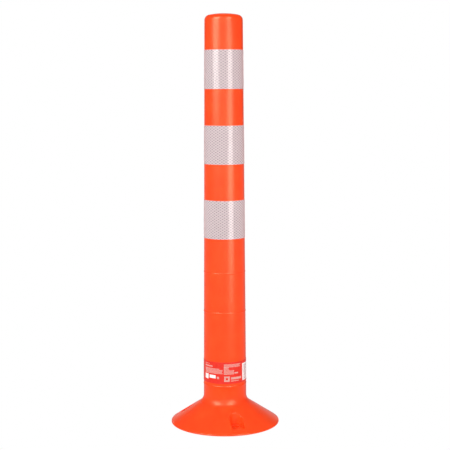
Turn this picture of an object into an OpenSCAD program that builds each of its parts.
// Flexible delineator post: a one-piece elastomer moulding with a cone-shaped
// skirt for three ground bolts, three retroreflective bands and a product label.
// Origin: centre of the underside. +Z is up, and -Y is the side the label faces.

/* [Overall] */
// Height from the ground to the middle of the closed top
height = 750; // [600:10:900]
// Diameter of the skirt where it meets the ground
skirt_d = 200; // [180:2:260]
// Tube diameter, its taper carried down to the ground
tube_bottom_d = 79.6; // [72:0.2:90]
// Tube diameter, its taper carried up to the top
tube_top_d = 69; // [60:0.2:80]
// Wall thickness of the tube
wall = 4.5; // [3:0.25:7]

/* [Closed top] */
// Radius of the rounded shoulder
shoulder_r = 10; // [5:0.5:15]
// How far the top rises above the shoulder in the middle
crown_rise = 2.4; // [0.4:0.1:4]
// Thickness of the closed top
top_wall = 5; // [3:0.5:8]

/* [Skirt] */
// Slope of the cone above the horizontal, in degrees
skirt_slope = 33.5; // [25:0.5:40]
// Height of the widest point of the rim
rim_height = 1.5; // [1.5:0.5:6]
// Rounding of the rim above its widest point
rim_r = 2.2; // [2:0.2:8]
// Rounding of the rim's lower edge
edge_r = 1.25; // [0.5:0.25:1.25]
// Fillet between the cone and the tube
neck_r = 18; // [8:1:26]

/* [Bolt pockets] */
// Number of ground bolts
bolt_count = 3; // [3:1:4]
// Bolt circle diameter
bolt_circle_d = 140; // [126:2:156]
// Diameter of a bolt hole
bolt_hole_d = 12; // [9:0.5:16]
// Turn of the first pocket from the label side, in degrees
bolt_turn = 16.5; // [0:0.5:60]
// Width of a bolt pocket
pocket_w = 24; // [20:1:32]
// Thickness of the skirt under a bolt
pocket_floor = 8.5; // [6:0.5:14]

/* [Flex zone] */
// Height of the lower end of the flex zone
flex_start = 77; // [72:1:84]
// Height of one flex section
flex_pitch = 46; // [44:1:50]

/* [Moulded rings] */
// Heights of the raised rings around the tube
ring_heights = [74, 210, 283];
// Width of a raised ring
ring_w = 2.6; // [2:0.2:4]
// How far a ring stands out
ring_rise = 0.5; // [0.2:0.1:0.8]

/* [Reflective bands] */
// Distance from the top of the post to the upper band
band_drop = 65; // [40:1:80]
// Height of a band
band_h = 69.5; // [50:0.5:100]
// Distance from one band to the next
band_pitch = 134.7; // [110:0.1:150]
// Thickness of the sheeting
band_t = 0.4; // [0.3:0.05:0.6]
// Width of the overlap at the back
band_lap = 12; // [6:1:25]

/* [Label] */
// Height of the lower edge of the label
label_start = 80; // [78:0.5:82]
// Height of the label
label_h = 40; // [30:1:41]
// Thickness of the label
label_t = 0.35; // [0.3:0.05:0.6]
// Gap between the label's two ends at the back
label_gap = 9; // [4:1:30]

/* [Hidden] */
$fn = 96;
// Room for the adhesive under the sheeting and the label
glue = 0.05;
// Slope of the taper and radius of the tube at a height
taper = (tube_bottom_d - tube_top_d) / 2 / height;
tilt = atan(taper);
function tube_r(z) = tube_bottom_d / 2 - taper * z;

// Shoulder: a circle that touches the tube's side and the crown
shoulder_z = height - shoulder_r - crown_rise;
shoulder_x = tube_r(shoulder_z) - shoulder_r / cos(tilt);
crown_r = (pow(shoulder_x, 2) + pow(height - shoulder_z, 2) - pow(shoulder_r, 2))
    / (2 * crown_rise);
crown_turn = atan(shoulder_x / (shoulder_z - height + crown_r));

// The same shoulder on the inside
inner_r = shoulder_r - wall;
inner_top = height - top_wall;
inner_z = inner_top - inner_r;
inner_x = tube_r(inner_z) - wall / cos(tilt) - inner_r / cos(tilt);

// Cone: height at radius r, touching the rim's rounding
rim_x = skirt_d / 2 - rim_r;
function cone_z(r) = rim_height + rim_r / cos(skirt_slope) - tan(skirt_slope) * (r - rim_x);

// Neck fillet: a circle that touches the tube's side and the cone
a1 = cos(tilt);
b1 = sin(tilt);
c1 = tube_bottom_d / 2 * cos(tilt) + neck_r;
a2 = sin(skirt_slope);
b2 = cos(skirt_slope);
c2 = cone_z(0) * cos(skirt_slope) + neck_r;
det = a1 * b2 - a2 * b1;
neck_x = (c1 * b2 - c2 * b1) / det;
neck_z = (a1 * c2 - a2 * c1) / det;

// Ring: a circle that stands out of the tube's side by ring_rise
bead_r = (pow(ring_w / 2, 2) + pow(ring_rise, 2)) / (2 * ring_rise);

flex_end = flex_start + 4 * flex_pitch;
band_top = height - band_drop - band_h;
mould_orange = [0.98, 0.31, 0.12];
sheeting_white = [0.86, 0.85, 0.85];
label_red = [0.93, 0.2, 0.13];

// The moulding's outside: rim, cone, neck, tube and closed top
module outline() {
    side_z = shoulder_z + shoulder_r * sin(tilt);
    low_x = skirt_d / 2 - edge_r;
    difference() {
        polygon([[0, 0], [low_x, 0], [low_x, edge_r], [skirt_d / 2, edge_r],
            [skirt_d / 2, rim_height], [rim_x, rim_height],
            [rim_x + rim_r * a2, rim_height + rim_r * b2],
            [neck_x - neck_r * a2, neck_z - neck_r * b2], [neck_x, neck_z],
            [neck_x - neck_r * a1, neck_z - neck_r * b1],
            [tube_r(side_z), side_z], [shoulder_x, shoulder_z], [0, shoulder_z]]);
        translate([neck_x, neck_z]) circle(r = neck_r);
    }
    translate([low_x, edge_r]) circle(r = edge_r);
    translate([rim_x, rim_height]) intersection() {
        circle(r = rim_r);
        translate([-1, edge_r - rim_height]) square(2 * rim_r);
    }
    translate([shoulder_x, shoulder_z]) circle(r = shoulder_r);
    intersection() {
        translate([0, height - crown_r]) circle(r = crown_r);
        polygon([[0, shoulder_z - 1], [shoulder_x, shoulder_z - 1],
            [crown_r * sin(crown_turn), height - crown_r + crown_r * cos(crown_turn)],
            [crown_r * sin(crown_turn), height + 5], [0, height + 5]]);
    }
    for (z = ring_heights)
        translate([tube_r(z) + ring_rise - bead_r, z]) circle(r = bead_r);
}

// The bore, open at the ground and closed at the top
module bore_outline() {
    shift = wall / cos(tilt);
    side_z = inner_z + inner_r * sin(tilt);
    polygon([[0, -1], [tube_r(-1) - shift, -1], [tube_r(side_z) - shift, side_z],
        [inner_x, inner_z], [inner_x, inner_top], [0, inner_top]]);
    translate([inner_x, inner_z]) circle(r = inner_r);
}

// A length of the moulding between two heights
module moulding(low, high) {
    rotate_extrude() intersection() {
        difference() {
            outline();
            bore_outline();
        }
        translate([0, low]) square([skirt_d, high - low]);
    }
}

// A U-shaped pocket that runs out of the cone, with its bolt hole
module bolt_pocket() {
    translate([0, -bolt_circle_d / 2, 0]) {
        translate([0, 0, pocket_floor]) {
            cylinder(d = pocket_w, h = 60);
            translate([-pocket_w / 2, -skirt_d / 2, 0]) cube([pocket_w, skirt_d / 2, 60]);
        }
        translate([0, 0, -1]) cylinder(d = bolt_hole_d, h = pocket_floor + 2);
    }
}

// A thin skin around the tube between two heights, t thick
module skin(low, high, t, inner = glue) {
    rotate_extrude() polygon([[tube_r(low) + inner, low], [tube_r(low) + inner + t, low],
        [tube_r(high) + inner + t, high], [tube_r(high) + inner, high]]);
}

// A band whose end laps over its start at the back
module band(low) {
    color(sheeting_white) {
        skin(low, low + band_h, band_t);
        intersection() {
            skin(low, low + band_h, band_t, glue + band_t);
            translate([-band_lap / 2, 0, low]) cube([band_lap, skirt_d, band_h]);
        }
    }
}

module skirt_base() {
    color(mould_orange) difference() {
        moulding(0, flex_start);
        for (i = [0 : bolt_count - 1])
            rotate([0, 0, bolt_turn + 360 / bolt_count * i]) bolt_pocket();
    }
}

module flex_section(i) {
    color(mould_orange)
        moulding(flex_start + (i - 1) * flex_pitch, flex_start + i * flex_pitch);
}

module upper_tube() {
    color(mould_orange) moulding(flex_end, height + 1);
}

module product_label() {
    color(label_red) difference() {
        skin(label_start, label_start + label_h, label_t);
        translate([-label_gap / 2, 0, label_start - 1])
            cube([label_gap, skirt_d, label_h + 2]);
    }
}

skirt_base();
flex_section(1);  // flex_section_1
flex_section(2);  // flex_section_2
flex_section(3);  // flex_section_3
flex_section(4);  // flex_section_4
upper_tube();
band(band_top - 2 * band_pitch);  // band_lower
band(band_top - band_pitch);  // band_middle
band(band_top);  // band_upper
product_label();
